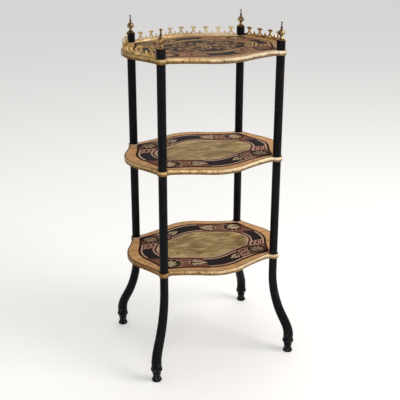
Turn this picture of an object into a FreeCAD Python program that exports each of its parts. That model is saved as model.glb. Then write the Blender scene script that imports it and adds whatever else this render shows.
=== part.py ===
"""Three-tier table with serpentine marquetry tiers, ebonised posts and a pierced brass gallery.

The origin is on the floor under the middle of the table. X runs along the tiers, the open front of
the gallery faces -Y and Z is up. All sizes are in millimetres.

Each corner is a stack that screws together through the tiers: a curved leg, a lower post, an upper
post, a short gallery post and a brass finial. Each of the first three has a turned tenon that passes
through a tier into the socket of the next. Each tier is a board with sawn veneers, a brass strip
nailed round its edge and, on the top tier only, a pierced gallery on three sides.
"""

import FreeCAD, Part
import math
import os
from dataclasses import dataclass

Vector = FreeCAD.Vector
UP = Vector(0, 0, 1)

# Heights of the table
leg_height = 253.7
bay_height = 240.0
gallery_post_height = 22.3
board_thickness = 11.0
veneer_thickness = 1.0

# Places of the posts
post_span_x = 286.0
post_span_y = 218.6
post_diameter = 20.0

# Tier edge, measured from the post centres. A crown's share is its half width over the corner's
# distance from the same middle line, and a hollow bend is the angle in degrees between the hollow
# arc and its chord.
edge_front_reach = 45.7
edge_front_crown_share = 0.30
edge_front_hollow_bend = 8.0
edge_side_reach = 52.5
edge_side_crown_share = 0.465
edge_side_hollow_bend = 4.4
edge_corner_past_x = 10.0
edge_corner_past_y = -1.8
lobe_radius = 12.8
cove_radius = 9.0

# Outline of the marquetry border, measured from the post centres
border_front_reach = 23.7
border_front_crown_share = 0.319
border_front_hollow_bend = 9.3
border_side_reach = 25.0
border_side_crown_share = 0.324
border_side_hollow_bend = 6.4
border_corner_past_x = -4.0
border_corner_past_y = -11.3
border_corner_radius = 13.0

# Outline of the centre field, measured from the post centres
field_front_reach = -33.3
field_front_crown_share = 0.302
field_front_hollow_bend = 3.0
field_side_reach = -23.0
field_side_crown_share = 0.571
field_side_hollow_bend = 1.9
field_corner_past_x = -43.0
field_corner_past_y = -67.8

# Marquetry of the border
string_width = 3.0
end_block_length = 62.0
side_block_length = 50.0
side_block_slant = 7.0
medallion_radius = 20.5
medallion_past_x = -28.0
medallion_past_y = -36.0

# Brass strip round the edge of a tier
strip_thickness = 2.0
strip_height = 11.0
strip_edge_break = 0.5

# Tenons and sockets of the corner stacks
tenon_diameter = 9.0
tenon_engagement = 18.0
gallery_tenon_engagement = 9.5
tenon_clearance = 0.15
socket_end_gap = 0.8
tenon_tip_break = 0.8
post_edge_break = 0.5

# Curved legs
leg_splay = 47.5
leg_straight_height = 38.4
leg_lower_bend_radius = 80.0
ankle_height = 42.0
ankle_diameter = 24.4
leg_stations = 9
toe_diameter = 24.8
toe_height = 35.0
toe_radius = 6.0
toe_underside_diameter = 21.8
toe_underside_height = 25.5
foot_waist_diameter = 20.2
foot_waist_height = 18.0
foot_hollow_radius = 16.0
foot_flare_diameter = 24.4
foot_flare_height = 3.0
foot_base_diameter = 22.8

# Finials
finial_height = 41.7
finial_skirt_diameter = 18.4
finial_skirt_rim = 1.6
finial_skirt_hollow_radius = 8.0
finial_neck_diameter = 6.2
finial_neck_height = 10.6
finial_bowl_diameter = 17.6
finial_bowl_height = 15.0
finial_bowl_lip = 1.0
finial_dome_radius = 12.0
finial_dome_shoulder_diameter = 9.6
finial_dome_shoulder_height = 22.8
finial_dome_hollow_radius = 4.0
finial_dome_height = 26.2
finial_dome_neck_diameter = 4.0
finial_ball_diameter = 5.8
finial_ball_neck_diameter = 2.2
finial_spindle_diameter = 3.4
finial_spindle_height = 34.2
finial_tip_neck_diameter = 2.0
finial_tip_neck_height = 36.8
finial_tip_diameter = 4.0
finial_stud_diameter = 5.0
finial_stud_length = 9.0
finial_stud_clearance = 0.1

# Pierced gallery
gallery_height = 22.8
gallery_thickness = 1.2
gallery_inset = 3.6
gallery_pitch = 31.0
gallery_rail_height = 5.6
gallery_foot_width = 3.0
gallery_foot_height = 1.0
gallery_post_gap = 0.3
gallery_tang_width = 3.0
gallery_tang_depth = 5.0
gallery_tang_clearance = 0.15

# Outline of one crest, as shares of the gallery's pitch and of its height
crest_foot_share = 0.43
crest_leg_bow_shares = (0.20, 0.36)
crest_waist_shares = (0.085, 0.64)
crest_neck_bow_shares = (0.125, 0.75)
crest_cap_width_share = 0.245
crest_cap_underside_share = 0.81
crest_cap_side_share = 0.91
crest_cap_shoulder_shares = (0.15, 0.975)
crest_eye_width_share = 0.135
crest_eye_base_share = 0.24
crest_eye_top_share = 0.47
crest_eye_bow_shares = (0.045, 0.34)
spire_width_share = 0.15
spire_height_share = 0.62
spire_bow_shares = (0.07, 0.42)

# Overrun of every cutter past the piece that it cuts, how near edges at one height lie, and the
# steps in which a crown's turn is found
cut_overrun = 5.0
height_tolerance = 0.05
turn_steps = 40

tier_thickness = board_thickness + veneer_thickness
tier_pitch = bay_height + tier_thickness
tier_undersides = {
    "bottom": leg_height,
    "middle": leg_height + tier_pitch,
    "top": leg_height + tier_pitch + tier_pitch,
}
table_top = tier_undersides["top"] + tier_thickness
corners = {
    "front_left": (-1, -1),
    "front_right": (1, -1),
    "back_left": (-1, 1),
    "back_right": (1, 1),
}


@dataclass(frozen=True)
class Bow:
    """One bowed side: how far its crown stands from the centre, the crown's radius and its half turn."""

    reach: float
    crown_radius: float
    turn: float


@dataclass(frozen=True)
class Plan:
    """A closed serpentine outline: its front and side bows, and the corner where they meet."""

    front: Bow
    side: Bow
    corner_x: float
    corner_y: float


def bow(half_span, corner_along, corner_out, past_post, crown_share, hollow_bend):
    """A bow whose crown takes up a share of the way to the corner; its turn is found step by step."""
    reach = half_span + past_post
    half_crown = crown_share * corner_along
    bend = math.radians(hollow_bend)
    turn = bend
    for _ in range(turn_steps):
        drop = reach - half_crown * math.tan(turn / 2) - corner_out
        turn = bend + math.atan2(drop, corner_along - half_crown)
    return Bow(reach, half_crown / math.sin(turn), turn)


def plan_from_posts(front, side, corner_past_x, corner_past_y):
    """A plan whose reaches and corner are given from the post centres."""
    half_x = post_span_x / 2
    half_y = post_span_y / 2
    corner_x = half_x + corner_past_x
    corner_y = half_y + corner_past_y
    front_bow = bow(half_y, corner_x, corner_y, *front)
    side_bow = bow(half_x, corner_y, corner_x, *side)
    return Plan(front_bow, side_bow, corner_x, corner_y)


edge_plan = plan_from_posts(
    (edge_front_reach, edge_front_crown_share, edge_front_hollow_bend),
    (edge_side_reach, edge_side_crown_share, edge_side_hollow_bend),
    edge_corner_past_x,
    edge_corner_past_y,
)
border_plan = plan_from_posts(
    (border_front_reach, border_front_crown_share, border_front_hollow_bend),
    (border_side_reach, border_side_crown_share, border_side_hollow_bend),
    border_corner_past_x,
    border_corner_past_y,
)
field_plan = plan_from_posts(
    (field_front_reach, field_front_crown_share, field_front_hollow_bend),
    (field_side_reach, field_side_crown_share, field_side_hollow_bend),
    field_corner_past_x,
    field_corner_past_y,
)


def post_centre(corner):
    """The X and Y of a corner's post."""
    sign_x, sign_y = corners[corner]
    return sign_x * post_span_x / 2, sign_y * post_span_y / 2


@dataclass(frozen=True)
class Ogee:
    """The hollow arc from the end of a crown towards the corner: where it starts, its centre and radius."""

    start: Vector
    centre: Vector
    radius: float


def swapped(point):
    """The point with X and Y exchanged, which turns the back of a plan into its right side."""
    return Vector(point.y, point.x, 0)


def ogee(bow, corner):
    """The hollow arc that leaves the crown without a kink and passes through the corner."""
    start = Vector(
        bow.crown_radius * math.sin(bow.turn),
        bow.reach - bow.crown_radius * (1 - math.cos(bow.turn)),
        0,
    )
    chord = corner - start
    half_turn = math.atan2(chord.y, chord.x) + bow.turn
    radius = chord.Length / (2 * math.sin(half_turn))
    return Ogee(start, start + Vector(math.sin(bow.turn), math.cos(bow.turn), 0) * radius, radius)


def point_towards(centre, target, distance):
    """The point at a distance from a centre towards a target."""
    return centre + (target - centre).normalize() * distance


def arc_about(centre, first, last):
    """The shorter arc about a centre between two points."""
    middle = point_towards(centre, (first + last) / 2, (first - centre).Length)
    return Part.Arc(first, middle, last).toShape()


def meeting_point(first, first_distance, second, second_distance, near):
    """The point at given distances from two centres, of the two the one nearer to a third point."""
    span = second - first
    along = (first_distance**2 - second_distance**2 + span.Length**2) / (2 * span.Length)
    across = math.sqrt(first_distance**2 - along**2)
    foot_point = point_towards(first, second, along)
    side = Vector(-span.y, span.x, 0).normalize() * across
    return min((foot_point + side, foot_point - side), key=lambda point: (point - near).Length)


def sharp_corner(back, side, corner):
    """Two hollow arcs that simply meet."""
    return [arc_about(back.centre, back.start, corner), arc_about(side.centre, corner, side.start)]


def rounded_corner(back, side, corner):
    """Two hollow arcs joined by the border's corner rounding."""
    radius = border_corner_radius
    centre = meeting_point(back.centre, back.radius + radius, side.centre, side.radius + radius, corner)
    back_end = point_towards(centre, back.centre, radius)
    side_end = point_towards(centre, side.centre, radius)
    return [
        arc_about(back.centre, back.start, back_end),
        arc_about(centre, back_end, side_end),
        arc_about(side.centre, side_end, side.start),
    ]


def cove(hollow, post_place):
    """The cove between a hollow arc and the lobe round a post: its centre and its two ends."""
    reach = lobe_radius + cove_radius
    centre = meeting_point(post_place, reach, hollow.centre, hollow.radius - cove_radius, hollow.start)
    hollow_end = point_towards(hollow.centre, centre, hollow.radius)
    return centre, hollow_end, point_towards(post_place, centre, lobe_radius)


def lobed_corner(back, side, corner):
    """Two hollow arcs that run through coves into the lobe round the post."""
    post_place = Vector(post_span_x / 2, post_span_y / 2, 0)
    tip = post_place + Vector(1, 1, 0).normalize() * lobe_radius
    back_centre, back_end, lobe_start = cove(back, post_place)
    side_centre, side_end, lobe_end = cove(side, post_place)
    return [
        arc_about(back.centre, back.start, back_end),
        arc_about(back_centre, back_end, lobe_start),
        arc_about(post_place, lobe_start, tip),
        arc_about(post_place, tip, lobe_end),
        arc_about(side_centre, lobe_end, side_end),
        arc_about(side.centre, side_end, side.start),
    ]


def side_ogee(plan):
    """The hollow arc of the right side."""
    turned = ogee(plan.side, Vector(plan.corner_y, plan.corner_x, 0))
    return Ogee(swapped(turned.start), swapped(turned.centre), turned.radius)


def plan_wire(plan, corner_edges):
    """The closed outline of a plan in the plane Z = 0: one quarter and its three mirror images."""
    corner = Vector(plan.corner_x, plan.corner_y, 0)
    back = ogee(plan.front, corner)
    side = side_ogee(plan)
    back_centre = Vector(0, plan.front.reach - plan.front.crown_radius, 0)
    side_centre = Vector(plan.side.reach - plan.side.crown_radius, 0, 0)
    half = [
        arc_about(back_centre, Vector(0, plan.front.reach, 0), back.start),
        *corner_edges(back, side, corner),
        arc_about(side_centre, side.start, Vector(plan.side.reach, 0, 0)),
    ]
    half += [edge.mirror(Vector(), Vector(0, 1, 0)) for edge in half]
    whole = half + [edge.mirror(Vector(), Vector(1, 0, 0)) for edge in half]
    return Part.Wire(Part.__sortEdges__(whole))


def slab(wire, base, height):
    """The plate of a given height over a closed flat outline."""
    plate = Part.Face(wire).extrude(UP * height)
    plate.translate(UP * base)
    return plate


def offset(wire, distance):
    """The outline moved outwards by a distance, or inwards where it is negative."""
    return wire.makeOffset2D(distance, join=2)


tier_edge = plan_wire(edge_plan, lobed_corner)
board_edge = offset(tier_edge, -strip_thickness)
border_edge = plan_wire(border_plan, rounded_corner)
panel_edge = offset(border_edge, -string_width)
field_edge = plan_wire(field_plan, sharp_corner)
field_string_edge = offset(field_edge, string_width)


def cylinder(x, y, base, radius, height):
    """An upright cylinder."""
    return Part.makeCylinder(radius, height, Vector(x, y, base))


def tenon_holes(base, height):
    """The four holes that the posts' tenons pass through, as one cutter past both faces."""
    radius = tenon_diameter / 2 + tenon_clearance
    holes = []
    for corner in corners:
        x, y = post_centre(corner)
        holes.append(cylinder(x, y, base - cut_overrun, radius, height + cut_overrun + cut_overrun))
    return Part.makeCompound(holes)


def edge_strip(underside):
    """The brass strip bent round the tier, with its two outer edges eased."""
    base = underside + tier_thickness - strip_height
    outer = slab(tier_edge, base, strip_height)
    flat_faces = [face for face in outer.Faces if isinstance(face.Surface, Part.Plane)]
    rims = [edge for face in flat_faces for edge in face.OuterWire.Edges]
    outer = outer.makeChamfer(strip_edge_break, rims)
    return outer.cut(slab(board_edge, base - cut_overrun, strip_height + cut_overrun + cut_overrun))


def tier_board(underside):
    """The board of one tier, with the holes for the tenons."""
    board = slab(board_edge, underside, board_thickness)
    return board.cut(tenon_holes(underside, board_thickness))


def veneer(outer, inner, underside):
    """A sheet of veneer between two outlines, on top of the board."""
    base = underside + board_thickness
    sheet = slab(outer, base, veneer_thickness)
    if inner is None:
        return sheet
    return sheet.cut(slab(inner, base, veneer_thickness))


def crossbanding(underside):
    """The cross-grained band between the brass strip and the border, with the tenon holes."""
    band = veneer(board_edge, border_edge, underside)
    return band.cut(tenon_holes(underside + board_thickness, veneer_thickness))


def block_shapes():
    """The outlines that the dark blocks are cut to: straight ends front and back, slanted at the sides."""
    far_x = edge_plan.side.reach
    far_y = edge_plan.front.reach
    half_end = end_block_length / 2
    half_side = side_block_length / 2
    slanted = half_side + side_block_slant
    return (
        [(-half_end, 0), (half_end, 0), (half_end, far_y), (-half_end, far_y)],
        [(half_end, 0), (-half_end, 0), (-half_end, -far_y), (half_end, -far_y)],
        [(0, -half_side), (far_x, -slanted), (far_x, half_side), (0, half_side)],
        [(0, half_side), (-far_x, slanted), (-far_x, -half_side), (0, -half_side)],
    )


def border_pieces(underside):
    """The border's dark blocks, its corner medallions and the plain panels between them."""
    base = underside + board_thickness
    ring = veneer(panel_edge, field_string_edge, underside)
    blocks = []
    for shape in block_shapes():
        points = [Vector(x, y, 0) for x, y in shape]
        blocks.append(slab(Part.makePolygon(points + points[:1]), base, veneer_thickness))
    discs = []
    for sign_x, sign_y in corners.values():
        x = sign_x * (post_span_x / 2 + medallion_past_x)
        y = sign_y * (post_span_y / 2 + medallion_past_y)
        discs.append(cylinder(x, y, base, medallion_radius, veneer_thickness))
    blocks = Part.makeCompound(blocks)
    discs = Part.makeCompound(discs)
    return ring.common(blocks), ring.common(discs), ring.cut(blocks).cut(discs)


def tenon(base, engagement, radius):
    """A tenon through a tier and into the next socket, with its tip eased."""
    length = tier_thickness + engagement - socket_end_gap
    peg = cylinder(0, 0, base, radius, length)
    tip = [edge for edge in peg.Edges if edge.CenterOfMass.z > base + length / 2 and edge.Closed]
    return peg.makeChamfer(tenon_tip_break, tip)


def ringed(solid, height):
    """The closed edges of a turned piece that lie at one height."""
    closed = [edge for edge in solid.Edges if edge.Closed]
    return [edge for edge in closed if abs(edge.CenterOfMass.z - height) < height_tolerance]


def post(corner, base, length, socket_depth, tenon_depth):
    """A turned post: eased ends, a socket in its foot and a tenon on its head."""
    shaft = cylinder(0, 0, 0, post_diameter / 2, length)
    shaft = shaft.makeChamfer(post_edge_break, ringed(shaft, 0) + ringed(shaft, length))
    socket = cylinder(0, 0, -cut_overrun, tenon_diameter / 2 + tenon_clearance, socket_depth + cut_overrun)
    shaft = shaft.cut(socket).fuse(tenon(length, tenon_depth, tenon_diameter / 2))
    x, y = post_centre(corner)
    shaft.translate(Vector(x, y, base))
    return shaft


def gallery_post(corner):
    """The short post above the top tier: a socket below for the tenon and a bore above for the finial."""
    stub = cylinder(0, 0, 0, post_diameter / 2, gallery_post_height)
    stub = stub.makeChamfer(post_edge_break, ringed(stub, 0) + ringed(stub, gallery_post_height))
    socket_radius = tenon_diameter / 2 + tenon_clearance
    stub = stub.cut(cylinder(0, 0, -cut_overrun, socket_radius, gallery_tenon_engagement + cut_overrun))
    bore_depth = finial_stud_length + socket_end_gap
    bore_radius = finial_stud_diameter / 2 + finial_stud_clearance
    bore = cylinder(0, 0, gallery_post_height - bore_depth, bore_radius, bore_depth + cut_overrun)
    stub = stub.cut(bore)
    x, y = post_centre(corner)
    stub.translate(Vector(x, y, table_top))
    return stub


def line(first, last):
    """A straight edge."""
    return Part.LineSegment(first, last).toShape()


def profile_arc(first, last, radius):
    """The arc of a given radius between two points, its centre to the right of the way between them."""
    chord = last - first
    rise = math.sqrt(radius**2 - (chord.Length / 2) ** 2)
    centre = (first + last) / 2 + Vector(chord.y, -chord.x, 0).normalize() * rise
    return arc_about(centre, first, last)


def ball_point(centre, ball_radius, neck_radius, side):
    """Where a neck of a smaller radius meets a ball on the axis, above it or below it."""
    return Vector(neck_radius, centre.y + side * math.sqrt(ball_radius**2 - neck_radius**2), 0)


def turned(edges, x, y, base):
    """A turned piece: a profile of radius along X and height along Y, spun and stood up at a place."""
    solid = Part.Face(Part.Wire(edges)).revolve(Vector(), Vector(0, 1, 0), 360)
    solid.rotate(Vector(), Vector(1, 0, 0), 90)
    solid.translate(Vector(x, y, base))
    return solid


def leg_bends():
    """The angle of both bends of the leg and the upper bend's radius, from the leg's splay and height."""
    rise = leg_height - leg_straight_height - ankle_height
    both_radii = (rise**2 + leg_splay**2) / (2 * leg_splay)
    return 2 * math.atan2(leg_splay, rise), both_radii - leg_lower_bend_radius


def leg_section(share):
    """The circle at a share of the way down the two bends, square to the leg's line."""
    angle, upper_radius = leg_bends()
    upper_run = upper_radius * angle
    run = share * (upper_run + leg_lower_bend_radius * angle)
    if run < upper_run:
        lean = run / upper_radius
        out = upper_radius * (1 - math.cos(lean))
        height = leg_height - leg_straight_height - upper_radius * math.sin(lean)
    else:
        lean = angle - (run - upper_run) / leg_lower_bend_radius
        out = leg_splay - leg_lower_bend_radius * (1 - math.cos(lean))
        height = ankle_height + leg_lower_bend_radius * math.sin(lean)
    radius = post_diameter / 2 + share * (ankle_diameter - post_diameter) / 2
    circle = Part.Circle(Vector(out, 0, height), Vector(math.sin(lean), 0, -math.cos(lean)), radius)
    return Part.Wire(circle.toShape())


def foot():
    """The turned foot under the ankle: a rounded toe, a step in to the waist and a flare to the floor."""
    toe = Vector(toe_diameter / 2, toe_height, 0)
    toe_end = Vector(toe_underside_diameter / 2, toe_underside_height, 0)
    waist = Vector(foot_waist_diameter / 2, foot_waist_height, 0)
    flare = Vector(foot_flare_diameter / 2, foot_flare_height, 0)
    base = Vector(foot_base_diameter / 2, 0, 0)
    ankle = Vector(ankle_diameter / 2, ankle_height, 0)
    top = Vector(0, ankle_height, 0)
    profile = [
        line(Vector(), base),
        line(base, flare),
        profile_arc(flare, waist, foot_hollow_radius),
        line(waist, toe_end),
        profile_arc(toe, toe_end, toe_radius),
        line(toe, ankle),
        line(ankle, top),
        line(top, Vector()),
    ]
    return turned(profile, leg_splay, 0, 0)


def leg(corner):
    """A leg that drops straight from the tier, sweeps out over the corner and ends in a turned foot."""
    sections = [leg_section(index / (leg_stations - 1)) for index in range(leg_stations)]
    shaft = Part.makeLoft(sections, True, False)
    straight = cylinder(0, 0, leg_height - leg_straight_height, post_diameter / 2, leg_straight_height)
    straight = straight.makeChamfer(post_edge_break, ringed(straight, leg_height))
    solid = shaft.fuse([straight, foot(), tenon(leg_height, tenon_engagement, tenon_diameter / 2)])
    solid = solid.removeSplitter()
    sign_x, sign_y = corners[corner]
    solid.rotate(Vector(), UP, math.degrees(math.atan2(sign_y, sign_x)))
    x, y = post_centre(corner)
    solid.translate(Vector(x, y, 0))
    return solid


def finial_skirt_and_bowl():
    """The lower half of the finial's profile, from the skirt over the neck to the lip of the bowl."""
    skirt = Vector(finial_skirt_diameter / 2, 0, 0)
    rim = Vector(finial_skirt_diameter / 2, finial_skirt_rim, 0)
    neck = Vector(finial_neck_diameter / 2, finial_neck_height, 0)
    bowl = Vector(finial_bowl_diameter / 2, finial_bowl_height, 0)
    lip = Vector(finial_bowl_diameter / 2 - finial_bowl_lip, finial_bowl_height + finial_bowl_lip, 0)
    rise = bowl.y - neck.y
    bowl_centre = Vector(0, (bowl.y + neck.y) / 2 + (bowl.x**2 - neck.x**2) / (2 * rise), 0)
    edges = [
        line(skirt, rim),
        profile_arc(rim, neck, finial_skirt_hollow_radius),
        arc_about(bowl_centre, neck, bowl),
        line(bowl, lip),
    ]
    return edges, skirt, lip


def finial_dome_and_tip(lip):
    """The upper half of the finial's profile: dome, ball, spindle and tip, up to the axis."""
    shoulder = Vector(finial_dome_shoulder_diameter / 2, finial_dome_shoulder_height, 0)
    dome_neck = Vector(finial_dome_neck_diameter / 2, finial_dome_height, 0)
    ball = finial_ball_diameter / 2
    ball_centre = Vector(0, dome_neck.y + math.sqrt(ball**2 - dome_neck.x**2), 0)
    ball_end = ball_point(ball_centre, ball, finial_ball_neck_diameter / 2, 1)
    spindle = Vector(finial_spindle_diameter / 2, finial_spindle_height, 0)
    tip_neck = Vector(finial_tip_neck_diameter / 2, finial_tip_neck_height, 0)
    tip = finial_tip_diameter / 2
    tip_centre = Vector(0, finial_height - tip, 0)
    tip_foot = ball_point(tip_centre, tip, tip_neck.x, -1)
    edges = [
        profile_arc(shoulder, lip, finial_dome_radius),
        profile_arc(shoulder, dome_neck, finial_dome_hollow_radius),
        arc_about(ball_centre, dome_neck, ball_end),
        line(ball_end, spindle),
        line(spindle, tip_neck),
        line(tip_neck, tip_foot),
        arc_about(tip_centre, tip_foot, Vector(0, finial_height, 0)),
    ]
    return edges


def finial(corner):
    """A turned brass finial on the stud that holds it in the gallery post."""
    lower, skirt, lip = finial_skirt_and_bowl()
    stud = Vector(finial_stud_diameter / 2, 0, 0)
    stud_end = Vector(stud.x, -finial_stud_length, 0)
    stud_middle = Vector(0, -finial_stud_length, 0)
    profile = [
        line(stud_middle, stud_end),
        line(stud_end, stud),
        line(stud, skirt),
        *lower,
        *finial_dome_and_tip(lip),
        line(Vector(0, finial_height, 0), stud_middle),
    ]
    return turned(profile, *post_centre(corner), table_top + gallery_post_height)


def gallery_line(inset):
    """The outline that the gallery follows, a given distance inside the plain serpentine edge."""
    return offset(plan_wire(edge_plan, sharp_corner), -inset)


def post_clearings(base, height):
    """The room that the gallery leaves round each post."""
    radius = post_diameter / 2 + gallery_post_gap
    return Part.makeCompound([cylinder(*post_centre(corner), base, radius, height) for corner in corners])


def gallery_side(shapes, side):
    """Of four shapes round the table, the one at the back, the left or the right."""
    if side == "back":
        return max(shapes, key=lambda shape: shape.CenterOfMass.y)
    if side == "left":
        return min(shapes, key=lambda shape: shape.CenterOfMass.x)
    return max(shapes, key=lambda shape: shape.CenterOfMass.x)


def gallery_band(width, base, height, side):
    """A band of one side of the gallery, from post to post."""
    outer = slab(gallery_line(gallery_inset - width / 2), base, height)
    ring = outer.cut(slab(gallery_line(gallery_inset + width / 2), base, height))
    return gallery_side(ring.cut(post_clearings(base, height)).Solids, side)


def gallery_stations(side):
    """Evenly spaced places along one side with their directions: crests, with spires between them."""
    line = gallery_line(gallery_inset).cut(post_clearings(-cut_overrun, cut_overrun + cut_overrun))
    chains = [Part.Wire(edges) for edges in Part.sortEdges(line.Edges)]
    wire = gallery_side(chains, side)
    crests = max(1, round(wire.Length / gallery_pitch))
    points = wire.discretize(Number=2 * crests + 1)
    stations = []
    for index in range(1, len(points) - 1):
        stations.append((points[index], (points[index + 1] - points[index - 1]).normalize()))
    return stations, wire.Length / crests


def crest_outline(pitch):
    """One crest: splayed legs, a narrow waist and a fan-shaped cap, and the opening between its legs."""

    def at(width_share, height_share):
        return Vector(width_share * pitch, 0, height_share * gallery_height)

    def mirrored(point):
        return Vector(-point.x, 0, point.z)

    bottom = Vector(crest_foot_share * pitch, 0, 0)
    rail = Vector(crest_foot_share * pitch, 0, gallery_rail_height)
    waist = at(*crest_waist_shares)
    underside = at(crest_cap_width_share, crest_cap_underside_share)
    side = at(crest_cap_width_share, crest_cap_side_share)
    half = [
        ("line", bottom, None, rail),
        ("arc", rail, at(*crest_leg_bow_shares), waist),
        ("arc", waist, at(*crest_neck_bow_shares), underside),
        ("line", underside, None, side),
        ("arc", side, at(*crest_cap_shoulder_shares), at(0, 1)),
    ]
    edges = []
    for kind, first, through, last in half:
        for turn in (lambda point: point, mirrored):
            if kind == "line":
                edges.append(Part.LineSegment(turn(first), turn(last)).toShape())
            else:
                edges.append(Part.Arc(turn(first), turn(through), turn(last)).toShape())
    edges.append(Part.LineSegment(mirrored(bottom), bottom).toShape())
    eye_side = at(crest_eye_width_share, crest_eye_base_share)
    eye_top = at(0, crest_eye_top_share)
    eye_bow = at(*crest_eye_bow_shares)
    eye = [
        Part.LineSegment(mirrored(eye_side), eye_side).toShape(),
        Part.Arc(eye_side, eye_bow, eye_top).toShape(),
        Part.Arc(eye_top, mirrored(eye_bow), mirrored(eye_side)).toShape(),
    ]
    return Part.Wire(Part.__sortEdges__(edges)), Part.Wire(Part.__sortEdges__(eye))


def spire_outline(pitch):
    """The pointed spire between two crests."""
    foot_x = spire_width_share * pitch
    foot_point = Vector(foot_x, 0, gallery_rail_height)
    bow = Vector(spire_bow_shares[0] * pitch, 0, spire_bow_shares[1] * gallery_height)
    other_bow = Vector(-bow.x, 0, bow.z)
    other_foot = Vector(-foot_x, 0, gallery_rail_height)
    tip = Vector(0, 0, spire_height_share * gallery_height)
    edges = [
        Part.Arc(foot_point, bow, tip).toShape(),
        Part.Arc(tip, other_bow, other_foot).toShape(),
        Part.LineSegment(other_foot, Vector(-foot_x, 0, 0)).toShape(),
        Part.LineSegment(Vector(-foot_x, 0, 0), Vector(foot_x, 0, 0)).toShape(),
        Part.LineSegment(Vector(foot_x, 0, 0), foot_point).toShape(),
    ]
    return Part.Wire(Part.__sortEdges__(edges))


def through_the_wall(wire, place, along):
    """A flat outline stood up at a place of the gallery and carried through its wall both ways."""
    prism = Part.Face(wire).extrude(Vector(0, cut_overrun + cut_overrun, 0))
    prism.translate(Vector(0, -cut_overrun, 0))
    prism.Placement = FreeCAD.Placement(
        Vector(place.x, place.y, table_top),
        FreeCAD.Rotation(UP, math.degrees(math.atan2(along.y, along.x))),
    ).multiply(prism.Placement)
    return prism


def gallery_tangs(side, clearance):
    """The tangs under the crests that hold the gallery in the tier, or with a clearance their slots."""
    wall = gallery_band(
        gallery_thickness + clearance + clearance,
        table_top - gallery_tang_depth - clearance,
        gallery_tang_depth + clearance,
        side,
    )
    stations, _ = gallery_stations(side)
    half = gallery_tang_width / 2 + clearance
    cutters = []
    for place, along in stations[::2]:
        block = Part.makeBox(
            half + half,
            cut_overrun + cut_overrun,
            gallery_tang_depth + cut_overrun,
            Vector(-half, -cut_overrun, -gallery_tang_depth - cut_overrun / 2),
        )
        block.Placement = FreeCAD.Placement(
            Vector(place.x, place.y, table_top),
            FreeCAD.Rotation(UP, math.degrees(math.atan2(along.y, along.x))),
        ).multiply(block.Placement)
        cutters.append(block)
    return wall.common(Part.makeCompound(cutters))


def gallery(side):
    """One side of the pierced gallery: the bowed wall cut to the crests and spires, its rail and foot."""
    stations, pitch = gallery_stations(side)
    crest, eye = crest_outline(pitch)
    spire = spire_outline(pitch)
    kept = [through_the_wall(spire, *station) for station in stations[1::2]]
    kept += [through_the_wall(crest, *station) for station in stations[::2]]
    eyes = [through_the_wall(eye, *station) for station in stations[::2]]
    wall = gallery_band(gallery_thickness, table_top, gallery_height, side)
    lace = [wall.common(prism) for prism in kept]
    rail = gallery_band(gallery_thickness, table_top, gallery_rail_height, side)
    foot_band = gallery_band(gallery_foot_width, table_top, gallery_foot_height, side)
    pierced = rail.fuse(lace).cut(Part.makeCompound(eyes))
    return pierced.fuse([foot_band, gallery_tangs(side, 0)]).removeSplitter()


def gallery_slots():
    """The slots in the top tier for the tangs of all three sides."""
    cutters = [gallery_tangs(side, gallery_tang_clearance) for side in ("back", "left", "right")]
    return Part.makeCompound(cutters)


def write(name, shape):
    """Writes one sub-part."""
    shape.exportStep(os.path.join("parts", name + ".step"))


def write_tier(name, underside):
    """Writes the pieces of one tier."""
    board = tier_board(underside)
    band = crossbanding(underside)
    if name == "top":
        slots = gallery_slots()
        board = board.cut(slots)
        band = band.cut(slots)
    blocks, medallions, panels = border_pieces(underside)
    write(name + "_tier_board", board)
    write(name + "_tier_crossbanding", band)
    write(name + "_tier_outer_string", veneer(border_edge, panel_edge, underside))
    write(name + "_tier_border_panels", panels)
    write(name + "_tier_dark_blocks", blocks)
    write(name + "_tier_corner_medallions", medallions)
    write(name + "_tier_inner_string", veneer(field_string_edge, field_edge, underside))
    write(name + "_tier_centre_field", veneer(field_edge, None, underside))
    write(name + "_tier_brass_strip", edge_strip(underside))


def write_corner(corner):
    """Writes the stack of one corner, from the floor up."""
    lower_base = tier_undersides["bottom"] + tier_thickness
    upper_base = tier_undersides["middle"] + tier_thickness
    write("leg_" + corner, leg(corner))
    write("lower_post_" + corner, post(corner, lower_base, bay_height, tenon_engagement, tenon_engagement))
    upper = post(corner, upper_base, bay_height, tenon_engagement, gallery_tenon_engagement)
    write("upper_post_" + corner, upper)
    write("gallery_post_" + corner, gallery_post(corner))
    write("finial_" + corner, finial(corner))


os.makedirs("parts", exist_ok=True)
for tier_name, tier_underside in tier_undersides.items():
    write_tier(tier_name, tier_underside)
for corner_name in corners:
    write_corner(corner_name)
for side_name in ("back", "left", "right"):
    write("gallery_" + side_name, gallery(side_name))
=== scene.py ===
"""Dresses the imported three-tier table: ebonised wood, marquetry tiers and old gilt brass.

The frame is the CAD model's: the floor is Z = 0, the open front of the gallery faces -Y and the
tiers run along X. Outlines and inlay are worked out in millimetres and become metres, times MM,
where a mesh is made. Materials are in metres and headings in degrees from X towards Y.
"""

import logging
import math
from dataclasses import dataclass, field
from enum import Enum
from functools import cache
from typing import Sequence

import bpy
import numpy as np
from mathutils import Matrix, Vector


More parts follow.
